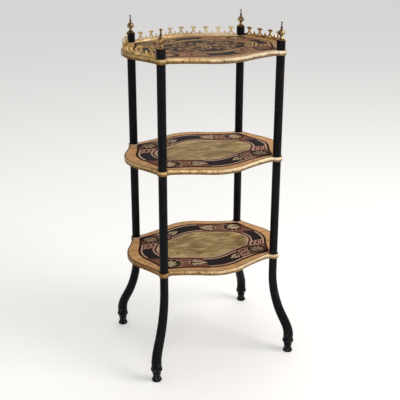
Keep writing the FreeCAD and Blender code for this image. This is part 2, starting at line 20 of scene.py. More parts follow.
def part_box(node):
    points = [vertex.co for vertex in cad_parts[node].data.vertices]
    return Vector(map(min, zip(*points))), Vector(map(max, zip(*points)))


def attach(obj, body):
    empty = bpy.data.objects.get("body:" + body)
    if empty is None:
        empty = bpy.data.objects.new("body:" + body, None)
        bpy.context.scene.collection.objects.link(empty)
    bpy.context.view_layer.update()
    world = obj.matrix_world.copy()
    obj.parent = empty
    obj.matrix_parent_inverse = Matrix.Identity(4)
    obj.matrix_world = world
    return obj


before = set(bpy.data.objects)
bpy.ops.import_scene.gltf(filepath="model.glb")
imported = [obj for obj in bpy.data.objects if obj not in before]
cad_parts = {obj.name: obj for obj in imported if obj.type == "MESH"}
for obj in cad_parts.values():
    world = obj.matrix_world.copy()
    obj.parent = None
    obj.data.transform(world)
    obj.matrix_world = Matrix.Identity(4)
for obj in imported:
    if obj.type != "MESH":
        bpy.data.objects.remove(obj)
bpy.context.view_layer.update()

Array = np.ndarray
Colour = tuple[float, float, float]
Span = tuple[float, float]
Cover = tuple[float, float, float]
Socket = bpy.types.NodeSocket
LOG = logging.getLogger("three_tier_table")

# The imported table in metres
MM = 0.001
TIER_PITCH = 0.252
STRIP_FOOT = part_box("bottom_tier_brass_strip")[0].z

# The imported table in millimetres
POST_PLACE = np.array([143.0, 109.3])
LOBE_RADIUS = 12.8
MEDALLION_RADIUS = 20.5
STRING_WIDTH = 3.0
BORDER_ROUNDING = 9.0

# Where most of a noise from 0 to 1 lies
NOISE_SPAN: Span = (0.3, 0.7)


def srgb(red: int, green: int, blue: int) -> Colour:
    """A colour as it is seen, in steps of 255, as the linear values that shaders take.

    Args:
        red, green, blue: the three channels, from 0 to 255.

    Returns:
        The linear channels: c / 12.92 below 0.04045, else ((c + 0.055) / 1.055) to the power 2.4.
    """
    channels = np.array([red, green, blue]) / 255
    linear = np.where(channels <= 0.04045, channels / 12.92, ((channels + 0.055) / 1.055) ** 2.4)
    return tuple(float(value) for value in linear)


class Tier(Enum):
    """The three tiers, from the floor up."""

    BOTTOM = "bottom"
    MIDDLE = "middle"
    TOP = "top"


class Corner(Enum):
    """The four corner stacks, as their nodes are named."""

    FRONT_LEFT = "front_left"
    FRONT_RIGHT = "front_right"
    BACK_LEFT = "back_left"
    BACK_RIGHT = "back_right"


class GallerySide(Enum):
    """The three sides of the gallery."""

    BACK = "back"
    LEFT = "left"
    RIGHT = "right"


# Materials


@dataclass(frozen=True)
class Noise:
    """A fractal noise, stretched along X, Y and Z and turned about Z in radians."""

    scale: float
    detail: float = 4
    rough: float = 0.55
    stretch: tuple[float, float, float] = (1, 1, 1)
    warp: float = 0
    turn: float = 0


class NodeTree:
    """The node tree of a material or a world."""

    def __init__(self, owner: bpy.types.Material | bpy.types.World) -> None:
        """Takes the tree over from its owner."""
        owner.use_nodes = True
        self.tree = owner.node_tree

    def feed(self, socket: Socket, value: object) -> None:
        """Links a socket to another one, or sets its value."""
        if isinstance(value, Socket):
            self.tree.links.new(value, socket)
        else:
            socket.default_value = (*value, 1.0) if socket.type == "RGBA" else value

    def add(
        self, kind: str, feeds: dict[str | int, object] | None = None, **settings: object
    ) -> bpy.types.Node:
        """Adds a node.

        Args:
            kind: its type, without the prefix of all shader nodes.
            feeds: what goes into its inputs, by their names or numbers.
            settings: its properties.

        Returns:
            The new node.
        """
        node = self.tree.nodes.new("ShaderNode" + kind)
        for name, value in settings.items():
            setattr(node, name, value)
        for place, value in (feeds or {}).items():
            self.feed(node.inputs[place], value)
        return node

    def reckon(self, operation: str, first: object, second: object = 0.0) -> Socket:
        """One step of arithmetic."""
        return self.add("Math", {0: first, 1: second}, operation=operation).outputs[0]

    def seen(self) -> Socket:
        """1 for what the camera, a reflection or glass sees, and 0 for what lights the table."""
        rays = self.add("LightPath").outputs
        other = self.reckon("MAXIMUM", rays["Is Glossy Ray"], rays["Is Transmission Ray"])
        return self.reckon("MAXIMUM", rays["Is Camera Ray"], other)


class FinishTree(NodeTree):
    """A material's node tree, built up round its Principled shader."""

    def __init__(self, name: str, **shader_values: float | Colour) -> None:
        """Makes the material and sets the values that are the same all over on the shader.

        Args:
            name: the material's name.
            shader_values: shader sockets by name, with underscores for spaces.
        """
        self.material = bpy.data.materials.new(name)
        super().__init__(self.material)
        self.shader = self.tree.nodes["Principled BSDF"]
        for socket, value in shader_values.items():
            self.feed(self.shader.inputs[socket.replace("_", " ")], value)

    def place(self) -> Socket:
        """The place on the object, in its own coordinates."""
        return self.add("TexCoord").outputs["Object"]

    def axes(self) -> tuple[Socket, Socket, Socket]:
        """X, Y and Z of the place, each on its own."""
        return tuple(self.add("SeparateXYZ", {0: self.place()}).outputs)

    def distance(self, across: Socket, along: Socket) -> Socket:
        """The length of the flat vector (across, along)."""
        flat = self.add("CombineXYZ", {"X": across, "Y": along}).outputs[0]
        return self.add("VectorMath", {0: flat}, operation="LENGTH").outputs["Value"]

    def around(self, across: float, along: float) -> Socket:
        """Coordinates that run round the table: (angle about Z x along, radius x across, 0)."""
        x, y, _ = self.axes()
        angle = self.reckon("MULTIPLY", self.reckon("ARCTAN2", y, x), along)
        radius = self.reckon("MULTIPLY", self.distance(x, y), across)
        return self.add("CombineXYZ", {"X": angle, "Y": radius}).outputs[0]

    def noise(self, noise: Noise, place: Socket | None = None) -> Socket:
        """A noise from 0 to 1, stretched and turned unless a place of its own is given."""
        if place is None:
            mapped = {"Vector": self.place(), "Scale": noise.stretch, "Rotation": (0, 0, noise.turn)}
            place = self.add("Mapping", mapped).outputs[0]
        names = ("Vector", "Scale", "Detail", "Roughness", "Distortion")
        values = (place, noise.scale, noise.detail, noise.rough, noise.warp)
        return self.add("TexNoise", dict(zip(names, values))).outputs["Fac"]

    def spread(
        self, value: Socket, low: float, high: float, new_low: float, new_high: float
    ) -> Socket:
        """A value moved from the range (low, high) to a new one and held inside it."""
        names = ("Value", "From Min", "From Max", "To Min", "To Max")
        values = (value, low, high, new_low, new_high)
        return self.add("MapRange", dict(zip(names, values))).outputs["Result"]

    def mix(self, factor: object, first: object, second: object) -> Socket:
        """Two colours mixed, from all of the first at 0 to all of the second at 1."""
        return self.add("Mix", {0: factor, 6: first, 7: second}, data_type="RGBA").outputs[2]

    def lay(
        self, colour: object, tone: object, pattern: Socket, bare: float, full: float, share: float = 1.0
    ) -> Socket:
        """A tone laid over a colour.

        Args:
            colour, tone: what lies below and above.
            pattern: what the tone follows.
            bare, full: the pattern's values where there is none of the tone and where there is most.
            share: the most of it, from 0 to 1.

        Returns:
            The colour with the tone on it.
        """
        return self.mix(self.spread(pattern, bare, full, 0, share), colour, tone)

    def ramp(self, factor: Socket, places: Cover, *tones: Colour) -> Socket:
        """Three tones that run into each other, each pure where the factor is at its place."""
        node = self.add("ValToRGB", {"Fac": factor})
        elements = node.color_ramp.elements
        elements.new(0.5)
        for stop, place, tone in zip(elements, places, tones):
            stop.position, stop.color = place, (*tone, 1.0)
        return node.outputs["Color"]

    def relief(self, height: Socket, depth: float, strength: float = 0.4) -> None:
        """Lets a height from 0 to 1 raise the surface by up to a depth in metres."""
        bump = self.add("Bump", {"Height": height, "Distance": depth, "Strength": strength})
        self.feed(self.shader.inputs["Normal"], bump.outputs["Normal"])

    def finish(
        self, colour: object, pattern: Socket | None = None, roughness: Span = (0, 1)
    ) -> bpy.types.Material:
        """Feeds the colour and, with a pattern, the roughness, and hands the material over."""
        self.feed(self.shader.inputs["Base Color"], colour)
        if pattern is not None:
            varied = self.spread(pattern, *NOISE_SPAN, *roughness)
            self.feed(self.shader.inputs["Roughness"], varied)
        return self.material


@dataclass(frozen=True)
class EbonisedWood:
    """Turned wood stained black and polished, worn to a red-brown here and there."""

    name: str = "ebonised wood"
    stain: Colour = srgb(13, 12, 13)
    stain_light: Colour = srgb(27, 26, 29)
    worn: Colour = srgb(70, 45, 33)
    worn_cover: Cover = (0.62, 0.72, 0.75)
    scratch: Colour = srgb(92, 90, 92)
    scratch_cover: Cover = (0.7, 0.75, 0.7)
    dusty_below: Span = (0.015, 0.07)
    dust: float = 0.13
    roughness: Span = (0.2, 0.34)
    grain_span: Span = (0.35, 0.7)
    grain: Noise = Noise(520, 5, 0.6, (1, 1, 0.06))
    wear: Noise = Noise(46, 6, 0.7, (1, 1, 0.35))
    scratches: Noise = Noise(260, 2, 0.5, (1, 1, 0.5))
    polish: Noise = Noise(24, 3)

    def build(self) -> bpy.types.Material:
        """Grain drawn out along Z, worn patches, and pale scratches that crowd near the floor."""
        tree = FinishTree(self.name, Specular_IOR_Level=0.05)
        grain = tree.noise(self.grain)
        dust = tree.spread(tree.axes()[2], *self.dusty_below, self.dust, 0)
        scratches = tree.reckon("ADD", tree.noise(self.scratches), dust)
        colour = tree.lay(self.stain, self.stain_light, grain, *self.grain_span)
        colour = tree.lay(colour, self.worn, tree.noise(self.wear), *self.worn_cover)
        colour = tree.lay(colour, self.scratch, scratches, *self.scratch_cover)
        tree.relief(grain, depth=0.00018, strength=0.5)
        return tree.finish(colour, tree.noise(self.polish), self.roughness)


@dataclass(frozen=True)
class StripWearAndPaintedLight:
    """Wear and painted light of the tier strips: how strong each is, and where it begins and ends."""

    # The foot and left-side shades are painted shade, and the pale front towards the right is a painted
    # highlight; the speckles are tarnish.
    foot_shade: float = 0.85
    speckle: float = 0.6
    left_shade: float = 0.4
    highlight_from: float = -0.07
    highlight_share: float = 1.8
    rub_and_highlight: Colour = srgb(242, 224, 190)
    speckles: Span = (0.52, 0.64)
    left: Span = (-0.125, -0.165)
    front: Span = (-0.085, -0.105)
    fade: float = 0.1
    foot: Span = (0.0084, 0.0062)
    foot_waver: float = 0.004

    def lay(
        self, tree: FinishTree, colour: Socket, tarnish_and_shade: Colour, cloud: Socket, spots: Socket
    ) -> Socket:
        """Tarnished speckles, painted shade on left side and foot, and a painted highlight on the right
        front.

        The height above a strip's lower edge is the remainder of Z divided by the distance from tier
        to tier, and the cloud makes the foot's upper edge waver.

        Args:
            tree: the finish that is worn.
            colour: its colour so far.
            tarnish_and_shade: the tone of the tarnished speckles and of the painted shade on side and
                foot.
            cloud, spots: two of its noises.

        Returns:
            The worn colour.
        """
        x, y, z = tree.axes()
        # Painted shade: the left side browner.
        colour = tree.lay(colour, tarnish_and_shade, x, *self.left, self.left_shade)
        colour = tree.lay(colour, tarnish_and_shade, spots, *self.speckles, self.speckle)
        # Painted highlight: the front paler towards the right, in a near-white tone.
        right = tree.spread(x, self.highlight_from, self.highlight_from + self.fade, 0, self.highlight_share)
        front = tree.reckon("MULTIPLY", tree.spread(y, *self.front, 0, 1), cloud)
        colour = tree.mix(tree.reckon("MULTIPLY", right, front), colour, self.rub_and_highlight)
        # Painted shade: the lower part of each strip darker.
        height = tree.reckon("MODULO", tree.reckon("SUBTRACT", z, STRIP_FOOT), TIER_PITCH)
        height = tree.reckon("ADD", tree.reckon("MULTIPLY", cloud, self.foot_waver), height)
        return tree.lay(colour, tarnish_and_shade, height, *self.foot, self.foot_shade)


@dataclass(frozen=True)
class Brass:
    """Old gilt brass: bright where hands rub it, brown in its hollows."""

    name: str = "gilt brass"
    bright: Colour = srgb(250, 238, 202)
    mellow: Colour = srgb(222, 196, 146)
    tarnish_and_shade: Colour = srgb(140, 110, 72)
    tarnish_from: float = 0.56
    roughness: Span = (0.28, 0.5)
    # Wear of a strip, with painted shade on its left side and foot and a painted highlight on its front.
    strip_wear_and_light: StripWearAndPaintedLight | None = None
    tip_shade: float = 0.0
    tips: Span = (0.812, 0.818)
    tarnish_fade: float = 0.14
    tarnish_share: float = 0.85
    cloud_span: Span = (0.35, 0.65)
    cloud: Noise = Noise(38, 5, 0.6)
    spots: Noise = Noise(210, 5, 0.65)
    dull: Noise = Noise(85, 6, 0.7)
    dents: Noise = Noise(150, 3)

    def build(self) -> bpy.types.Material:
        """Cloudy mix of bright and mellow metal, tarnished in patches and on the finials' tips; painted
        light on the strips.
        """
        tree = FinishTree(self.name, Metallic=1.0)
        cloud, spots = tree.noise(self.cloud), tree.noise(self.spots)
        dull = (self.tarnish_from, self.tarnish_from + self.tarnish_fade, self.tarnish_share)
        colour = tree.lay(self.mellow, self.bright, cloud, *self.cloud_span)
        colour = tree.lay(colour, self.tarnish_and_shade, tree.noise(self.dull), *dull)
        if self.strip_wear_and_light:
            colour = self.strip_wear_and_light.lay(tree, colour, self.tarnish_and_shade, cloud, spots)
        if self.tip_shade:
            colour = tree.lay(colour, self.tarnish_and_shade, tree.axes()[2], *self.tips, self.tip_shade)
        tree.relief(tree.noise(self.dents), depth=0.0003, strength=0.7)
        return tree.finish(colour, spots, self.roughness)


@dataclass(frozen=True)
class BurrVeneer:
    """Burr wood of the centre fields: olive gold, clouded along the table's length."""

    name: str = "burr veneer"
    pale: Colour = srgb(206, 180, 126)
    middle: Colour = srgb(170, 142, 92)
    dark: Colour = srgb(116, 91, 51)
    tone_places: Cover = (0.33, 0.50, 0.64)
    eye_cover: Cover = (0.58, 0.72, 0.5)
    pore_cover: Cover = (0.5, 0.75, 0.25)
    roughness: Span = (0.34, 0.46)
    cloud: Noise = Noise(34, 6, 0.62, (0.45, 1, 1), 1.6, 0.12)
    eyes: Noise = Noise(150, 4, 0.6, (0.8, 1, 1), 0.8)
    pores: Noise = Noise(900, 2, stretch=(0.3, 1, 1))

    def build(self) -> bpy.types.Material:
        """Warped clouds drawn out along X, with small burr eyes and fine pores."""
        tree = FinishTree(self.name, Specular_IOR_Level=0.05)
        cloud, pores = tree.noise(self.cloud), tree.noise(self.pores)
        colour = tree.ramp(cloud, self.tone_places, self.dark, self.middle, self.pale)
        colour = tree.lay(colour, self.dark, tree.noise(self.eyes), *self.eye_cover)
        colour = tree.lay(colour, self.dark, pores, *self.pore_cover)
        tree.relief(pores, depth=0.00008)
        return tree.finish(colour, cloud, self.roughness)


@dataclass(frozen=True)
class CrossGrainVeneer:
    """Veneer laid with its grain square to the table's edge."""

    name: str = "crossbanding veneer"
    pale: Colour = srgb(218, 171, 117)
    middle: Colour = srgb(189, 139, 91)
    dark: Colour = srgb(133, 88, 52)
    rub_and_highlight: Colour = srgb(222, 200, 180)
    tone_places: Cover = (0.30, 0.46, 0.64)
    sheet_cover: Cover = (0.35, 0.65, 0.45)
    grime_cover: Cover = (0.52, 0.72, 0.6)
    rubbed_cover: Cover = (0.034, 0.02, 0.6)
    rubbed_waver: float = 0.016
    line_repeats: Span = (14, 120)
    sheet_repeats: Span = (0, 11)
    roughness: Span = (0.34, 0.5)
    lines: Noise = Noise(1.0, 5, 0.62)
    sheets: Noise = Noise(0.6, 1)
    grime: Noise = Noise(42, 6, 0.7, warp=0.5)

    def build(self) -> bpy.types.Material:
        """Fine lines that run outwards, in sheets that differ a little, with grime along them.

        Round the feet of the back posts the veneer is worn pale, by its distance from the post.
        """
        tree = FinishTree(self.name, Specular_IOR_Level=0.05)
        lines = tree.noise(self.lines, tree.around(*self.line_repeats))
        sheets = tree.noise(self.sheets, tree.around(*self.sheet_repeats))
        grime = tree.noise(self.grime)
        colour = tree.ramp(lines, self.tone_places, self.dark, self.middle, self.pale)
        colour = tree.lay(colour, self.pale, sheets, *self.sheet_cover)
        colour = tree.lay(colour, self.dark, grime, *self.grime_cover)
        x, y, _ = tree.axes()
        post_x, post_y = (float(value) * MM for value in POST_PLACE)
        beside = tree.reckon("SUBTRACT", tree.reckon("ABSOLUTE", x), post_x)
        away = tree.distance(beside, tree.reckon("SUBTRACT", y, post_y))
        away = tree.reckon("ADD", away, tree.reckon("MULTIPLY", grime, self.rubbed_waver))
        colour = tree.lay(colour, self.rub_and_highlight, away, *self.rubbed_cover)
        tree.relief(lines, depth=0.00006)
        return tree.finish(colour, grime, self.roughness)


@dataclass(frozen=True)
class StraightVeneer:
    """Plain veneer with its grain along X: mahogany, ebony, strings and the wood of the leaves."""

    name: str
    light: Colour
    dark: Colour
    fleck: Colour
    scorched: Colour | None = None
    fleck_cover: Cover = (0.52, 0.74, 0.45)
    pore_cover: Cover = (0.56, 0.72, 0.4)
    roughness: Span = (0.34, 0.48)
    grain_span: Span = (0.34, 0.66)
    grain: Noise = Noise(420, 5, 0.6, (0.09, 1, 1))
    cloud: Noise = Noise(60, 4, 0.6, (0.5, 1, 1), 0.6)
    pores: Noise = Noise(1700, 2, stretch=(0.09, 1, 1))

    def build(self) -> bpy.types.Material:
        """Long grain, flecks and pores; the shade attribute says how scorched a leaf is."""
        tree = FinishTree(self.name, Specular_IOR_Level=0.02)
        cloud, pores = tree.noise(self.cloud), tree.noise(self.pores)
        colour = tree.lay(self.dark, self.light, tree.noise(self.grain), *self.grain_span)
        colour = tree.lay(colour, self.fleck, cloud, *self.fleck_cover)
        colour = tree.lay(colour, self.dark, pores, *self.pore_cover)
        if self.scorched is not None:
            shade = tree.add("Attribute", attribute_name="shade").outputs["Fac"]
            colour = tree.mix(shade, colour, self.scorched)
        tree.relief(pores, depth=0.00006)
        return tree.finish(colour, cloud, self.roughness)


# Light, dark and fleck of each plain wood, and its scorched tone where it makes leaves
PLAIN_WOODS = {
    "stained board": ((84, 56, 36), (56, 36, 24), (40, 26, 18)),
    "pale string": ((208, 172, 146), (180, 142, 116), (154, 116, 94)),
    "golden string": ((190, 152, 102), (154, 118, 76), (128, 96, 62)),
    "dark line": ((58, 25, 12), (38, 15, 7), (70, 34, 17)),
    "mahogany veneer": ((138, 92, 72), (108, 66, 52), (90, 54, 46)),
    "pale mahogany": ((146, 106, 76), (124, 84, 58), (108, 72, 52)),
    "smoked wood": ((66, 32, 24), (44, 20, 15), (34, 16, 12)),
    "smoked rosewood": ((54, 40, 33), (34, 25, 22), (70, 51, 38)),
    "ebony veneer": ((47, 36, 35), (30, 23, 24), (58, 48, 45)),
    "medallion ground": ((42, 29, 20), (28, 19, 14), (54, 38, 28)),
    "fret wood": ((226, 174, 150), (200, 142, 120), (178, 122, 102)),
    "leaf wood": ((208, 184, 150), (176, 151, 118), (154, 131, 102), (104, 84, 52)),
    "worn leaf wood": ((164, 134, 94), (132, 104, 70), (112, 84, 56), (84, 64, 40)),
    "golden wood": ((172, 134, 90), (130, 96, 60), (106, 76, 48), (70, 48, 30)),
}
# Bright, mellow and tarnish tone of each metal (on the strips the tarnish tone also paints shade), where
# its tarnish begins, its roughness, the wear and painted light of a strip and the shade of a finial's
# tip
OLD_METALS = {
    # A darker copy of the gallery brass for the gallery's left and right sides: painted shade.
    "shaded gallery brass": (((236, 204, 134), (184, 148, 84), (80, 58, 30)), 0.49, (0.28, 0.5)),
    # The tiers' strips: painted shade on the left side and foot, a painted highlight on the right front.
    "strip brass": (((244, 215, 160), (200, 161, 100), (104, 70, 32)), 0.54, (0.34, 0.52), StripWearAndPaintedLight()),
    # The bottom tier's strip: darker brass, stronger painted shade on the left side, a weaker painted
    # highlight.
    "bottom strip brass": (
        ((228, 200, 154), (180, 145, 98), (108, 70, 32)), 0.5, (0.36, 0.54),
        StripWearAndPaintedLight(foot_shade=0.75, speckle=0.35, left_shade=0.8, highlight_from=-0.04, highlight_share=0.9),
    ),
    "finial brass": (((208, 172, 116), (128, 92, 52), (42, 30, 20)), 0.43, (0.16, 0.32), None, 0.75),
    "nail iron": (((46, 33, 25), (30, 22, 17), (18, 14, 11)), 0.5, (0.45, 0.65)),
}
WORN_CROSSBANDING = (srgb(178, 140, 100), srgb(150, 113, 77), srgb(106, 72, 45))
FINISHES = {
    finish.name: finish
    for finish in (
        EbonisedWood(),
        BurrVeneer(),
        CrossGrainVeneer(),
        CrossGrainVeneer("worn crossbanding", *WORN_CROSSBANDING),
        # The gallery's back, in paler brass than its sides: painted light.
        Brass(),
        *(
            Brass(name, *(srgb(*tone) for tone in tones), *rest)
            for name, (tones, *rest) in OLD_METALS.items()
        ),
        *(
            StraightVeneer(name, *(srgb(*tone) for tone in tones))
            for name, tones in PLAIN_WOODS.items()
        ),
    )
}


@cache
def material(finish: str) -> bpy.types.Material:
    """The material of a finish, built when first asked for."""
    return FINISHES[finish].build()


def dress(node: str, finish: str) -> None:
    """Gives a node of the CAD model its material."""
    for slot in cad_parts[node].material_slots:
        slot.material = material(finish)
    LOG.info("dressed %s in %s", node, finish)


# Surfaces


@dataclass
class Surface:
    """Closed surfaces gathered into one piece: points, faces and how scorched each point is."""

    points: list[Array] = field(default_factory=list)
    faces: list[list[int]] = field(default_factory=list)
    shades: list[Array] = field(default_factory=list)
    count: int = 0

    def add(self, points: Array, blocks: Sequence[Array], shades: Array | None = None) -> None:
        """Adds one closed surface and turns its faces outwards.

        Six times its volume is the sum of a . (b x c) over its faces, each cut into triangles a, b, c
        from its first point. Where the sum is negative, every face is turned round.

        Args:
            points: the points (n, 3), in metres.
            blocks: arrays of faces with the same number of corners, each (m, corners).
            shades: how scorched each point is, from 0 to 1.
        """
        local = points - points.mean(0)
        triangles = (
            (block[:, 0], block[:, k], block[:, k + 1])
            for block in blocks
            for k in range(1, block.shape[1] - 1)
        )
        volume = sum((local[a] * np.cross(local[b], local[c])).sum() for a, b, c in triangles)
        for block in blocks:
            self.faces.extend(((block[:, ::-1] if volume < 0 else block) + self.count).tolist())
        self.points.append(points)
        self.shades.append(np.zeros(len(points)) if shades is None else shades)
        self.count += len(points)

    def piece(self, name: str, finish: str, slot: str) -> None:
        """Makes the object, in place and riding on the table.

        Args:
            name: the piece's name.
            finish: the finish from FINISHES.
            slot: the record's material slot; not used.
        """
        mesh = bpy.data.meshes.new(name)
        mesh.from_pydata(np.concatenate(self.points).tolist(), [], self.faces)
        shade = mesh.attributes.new("shade", "FLOAT", "POINT")
        shade.data.foreach_set("value", np.concatenate(self.shades).astype(np.float32))
        mesh.materials.append(material(finish))
        mesh.update()
        piece = bpy.data.objects.new(name, mesh)
        bpy.context.scene.collection.objects.link(piece)
        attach(piece, "root")
        LOG.info("made %s: %d faces", name, len(mesh.polygons))


def ring_faces(rows: int, around: int, closed: bool = False) -> Array:
    """The quads between rows of points that each go once round a section.

    Args:
        rows: how many sections there are.
        around: how many points a section has.
        closed: whether the last section joins the first.

    Returns:
        Faces (m, 4): point (i, k) joins (i, k + 1), (i + 1, k + 1) and (i + 1, k).
    """
    row = np.arange(rows if closed else rows - 1)[:, None] * around
    place = np.arange(around)[None, :]
    after = (place + 1) % around
    below = (row + around) % (rows * around)
    return np.stack([row + place, row + after, below + after, below + place], -1).reshape(-1, 4)


def side_normals(path: Array, closed: bool) -> Array:
    """The sideways direction at each point of a flat path, made longer in its corners.

    With a and b the left-hand normals of the runs before and after a point, it is (a + b) / (1 + a.b),
    so that a strip of constant width keeps its width round a corner.
    """
    runs = np.roll(path, -1, 0) - path if closed else np.diff(path, axis=0)
    runs = runs / np.linalg.norm(runs, axis=1, keepdims=True)
    left = np.stack([-runs[:, 1], runs[:, 0]], 1)
    before = np.roll(left, 1, 0) if closed else np.concatenate([left[:1], left])
    after = left if closed else np.concatenate([left, left[-1:]])
    return (before + after) / np.maximum(1 + (before * after).sum(1, keepdims=True), 0.35)


def heading_vector(degrees: Array | float) -> Array:
    """The unit vector of a heading, or one for each of several."""
    angle = np.radians(degrees)
    return np.stack([np.cos(angle), np.sin(angle)], -1)


def heading_of(vector: Array) -> float:
    """The heading of a flat vector."""
    return math.degrees(math.atan2(vector[1], vector[0]))


def stroke(
    start: Array | Span, heading: float, length: float, bend: float, curl: float, share: Array
) -> Array:
    """A line whose heading at the share t of its length is heading + bend t + curl t^2.

    Args:
        start: its first point.
        heading, bend, curl: in degrees.
        length: its length.
        share: the shares of its length, from 0 to 1.

    Returns:
        Points (n, 2), the running sum of the short steps along the heading.
    """
    middle = (share[1:] + share[:-1]) / 2
    directions = heading_vector(heading + bend * middle + curl * middle**2)
    steps = length * np.diff(share)[:, None] * directions
    return np.cumsum(np.concatenate([[start], steps]), axis=0)


@dataclass
class Inlay:
    """Thin plates of one wood let into a tier, gathered into one piece.

    A plate is a rectangle carried along a flat path: at each point it reaches half a width to both
    sides, from a little below the tier's surface to a little above it. The tier's level is in
    metres and all other sizes are in millimetres.
    """

    level: float
    proud: float
    sunk: float = 0.05
    least_half: float = 0.06
    surface: Surface = field(default_factory=Surface)

    def plate(
        self, path: Array, half: Array | float, closed: bool = False, shades: Array | None = None
    ) -> None:
        """Adds a plate along a path (n, 2), with half its width as one value or one for each point."""
        widths = np.maximum(np.broadcast_to(half, len(path)), self.least_half)[:, None]
        sideways = side_normals(path, closed) * widths
        left, right = (path + sideways) * MM, (path - sideways) * MM
        low = np.full(len(path), self.level - self.sunk * MM)
        high = np.full(len(path), self.level + self.proud * MM)
        corners = ((left, low), (left, high), (right, high), (right, low))
        rows = np.stack([np.column_stack(corner) for corner in corners], 1)
        blocks = [ring_faces(len(path), 4, closed)]
        if not closed:
            last = 4 * (len(path) - 1)
            blocks.append(np.array([[3, 2, 1, 0], [last, last + 1, last + 2, last + 3]]))
        self.surface.add(rows.reshape(-1, 3), blocks, None if shades is None else np.repeat(shades, 4))

    def twins(self, path: Array, half: Array | float) -> None:
        """Adds a plate, and once more turned by half a turn round the tier."""
        for sign in (1, -1):
            self.plate(sign * path, half)

    def leaf(
        self, base: Array, heading: float, length: float, width: float, bend: float = 0.0,
        fullness: float = 0.75, belly: float = 1.0, smoke: float = 0.0,
    ) -> None:
        """Adds a leaf from its base to its tip.

        Half its width at the share t of its length is width / 2 times sin(pi t^belly) to the power of
        its fullness, its middle line turns evenly by the bend, and it is scorched towards its base.

        Args:
            base: where it starts.
            heading: the direction in which it starts.
            length, width: its size.
            bend: how far it turns on its way.
            fullness: below 1 the leaf is full, above 1 it is drawn out.
            belly: above 1 its widest place moves towards the tip.
            smoke: how scorched it is all over, from 0 to 1.
        """
        share = np.linspace(0, 1, 13)
        half = width / 2 * np.abs(np.sin(math.pi * share**belly)) ** fullness
        shades = np.clip(0.7 - 2.2 * share, smoke, 1)
        self.plate(stroke(base, heading, length, bend, 0.0, share), half, shades=shades)


# Plans of the tiers


@dataclass(frozen=True)
class Bow:
    """One side of an outline: a crown arc over the middle line, then a hollow arc to the corner."""

    reach: float
    radius: float
    turn: float

    def line(self, corner: Array, points: int = 60) -> Array:
        """The bow from its middle to the corner, with X along the side and Y outwards.

        The crown is the arc about (0, reach - radius) from the middle line through the turn. The hollow
        is the arc that leaves it without a kink and ends at the corner: with the chord c from the
        crown's end and h the angle between crown end and chord, its radius is |c| / (2 sin h).
        """
        turn = math.radians(self.turn)
        angle = np.linspace(0, turn, points)
        rise = self.reach - self.radius * (1 - np.cos(angle))
        crown = np.stack([self.radius * np.sin(angle), rise], 1)
        chord = corner - crown[-1]
        half = math.atan2(chord[1], chord[0]) + turn
        radius = float(np.linalg.norm(chord)) / (2 * math.sin(half))
        centre = crown[-1] + radius * np.array([math.sin(turn), math.cos(turn)])
        swing = np.linspace(0, 2 * half, points) - math.pi / 2 - turn
        hollow = centre + radius * np.stack([np.cos(swing), np.sin(swing)], 1)
        return np.concatenate([crown, hollow[1:]])


@dataclass(frozen=True)
class Plan:
    """A closed outline that is the same in all four quarters."""

    front: Bow
    side: Bow
    corner: Span

    def front_line(self) -> Array:
        """From the middle of the back to the corner, X growing."""
        return self.front.line(np.array(self.corner))

    def side_line(self) -> Array:
        """From the middle of the right side to the corner, Y growing."""
        return self.side.line(np.array(self.corner[::-1]))[:, ::-1]

    def quarter(self) -> Array:
        """From the middle of the back, clockwise to the middle of the right side."""
        return np.concatenate([self.front_line(), self.side_line()[::-1][1:]])

    def outline(self, outwards: float = 0.0, rounding: float = 0.0) -> Array:
        """The whole outline, moved outwards or, where negative, inwards.

        Where a rounding is asked for, points nearer to the corner c than it are replaced by the curve
        (1 - t)^2 a + 2 t (1 - t) c + t^2 b, from where the line comes near, a, to where it leaves, b.
        """
        quarter, corner = self.quarter(), np.array(self.corner)
        if rounding:
            first, last = run_inside(quarter, corner, rounding)
            share = np.linspace(0, 1, 16)[:, None]
            curve = (1 - share) ** 2 * quarter[first] + share**2 * quarter[last]
            curve += 2 * share * (1 - share) * corner
            quarter = np.concatenate([quarter[:first], curve, quarter[last + 1 :]])
        return whole(quarter, outwards)

    def lobed(self, outwards: float) -> Array:
        """The outline with a round lobe about the post at each corner, moved outwards or inwards.

        Points of a quarter that lie inside the lobe's circle are replaced by its outer arc.
        """
        quarter = self.quarter()
        first, last = run_inside(quarter, POST_PLACE, LOBE_RADIUS)
        ends = [heading_of(quarter[place] - POST_PLACE) for place in (first, last)]
        arc = POST_PLACE + LOBE_RADIUS * heading_vector(np.linspace(*ends, 24))
        return whole(np.concatenate([quarter[:first], arc, quarter[last + 1 :]]), outwards)


def run_inside(line: Array, centre: Array, radius: float) -> tuple[int, int]:
    """The last point of a line before it enters a circle and the first one after it."""
    inside = np.flatnonzero(np.linalg.norm(line - centre, axis=1) < radius)
    return inside[0] - 1, inside[-1] + 1


def whole(quarter: Array, outwards: float) -> Array:
    """A closed outline from its quarter and that one's mirror images, moved outwards point by point."""
    half = np.concatenate([quarter, (quarter * [1, -1])[::-1][1:]])
    outline = np.concatenate([half, (half * [-1, 1])[::-1][1:-1]])
    return outline + outwards * side_normals(outline, True)


EDGE = Plan(Bow(155.0, 101.65, 26.84), Bow(195.5, 97.32, 30.91), (153.0, 107.5))
BORDER = Plan(Bow(133.0, 107.58, 24.34), Bow(168.0, 75.73, 24.79), (139.0, 98.0))
FIELD = Plan(Bow(76.0, 72.09, 24.77), Bow(120.0, 39.97, 36.36), (100.0, 41.5))


